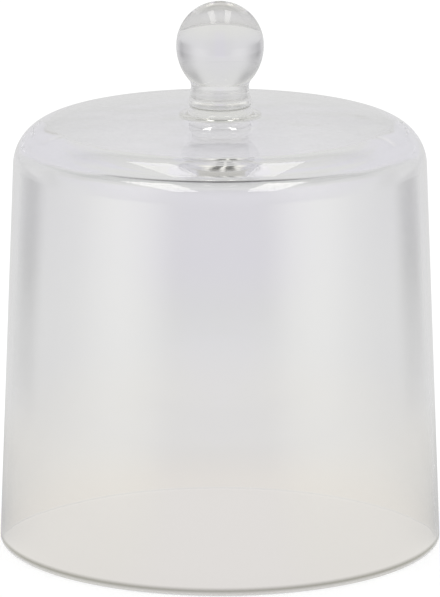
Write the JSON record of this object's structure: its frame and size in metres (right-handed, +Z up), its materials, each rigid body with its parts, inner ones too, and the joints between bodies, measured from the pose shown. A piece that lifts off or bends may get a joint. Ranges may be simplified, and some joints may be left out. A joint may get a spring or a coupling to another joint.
{
  "type": "serving cloche",
  "caption": "Clear glass serving cloche: an open-bottomed, slightly tapered bell with a round shoulder and low dome, lifted by a solid glass ball knob on a collar and a coved foot.",
  "frame": {"origin": "centre of the circle that the bell's rim stands on", "axes": "+Z up along the bell's axis, towards the knob; the cloche is turned about Z, so X and Y are alike"},
  "size_m": [0.2, 0.2, 0.2465],
  "materials": {
    "bell_glass": "fire-polished, clear with a faint pearly grey lustre",
    "foot_glass": "fire-polished, clear",
    "collar_glass": "fire-polished, clear",
    "knob_glass": "fire-polished, clear"
  },
  "bodies": {
    "root": {"glass_bell": "bell_glass", "knob_foot": "foot_glass", "knob_collar": "collar_glass", "knob": "knob_glass"}
  },
  "joints": []
}
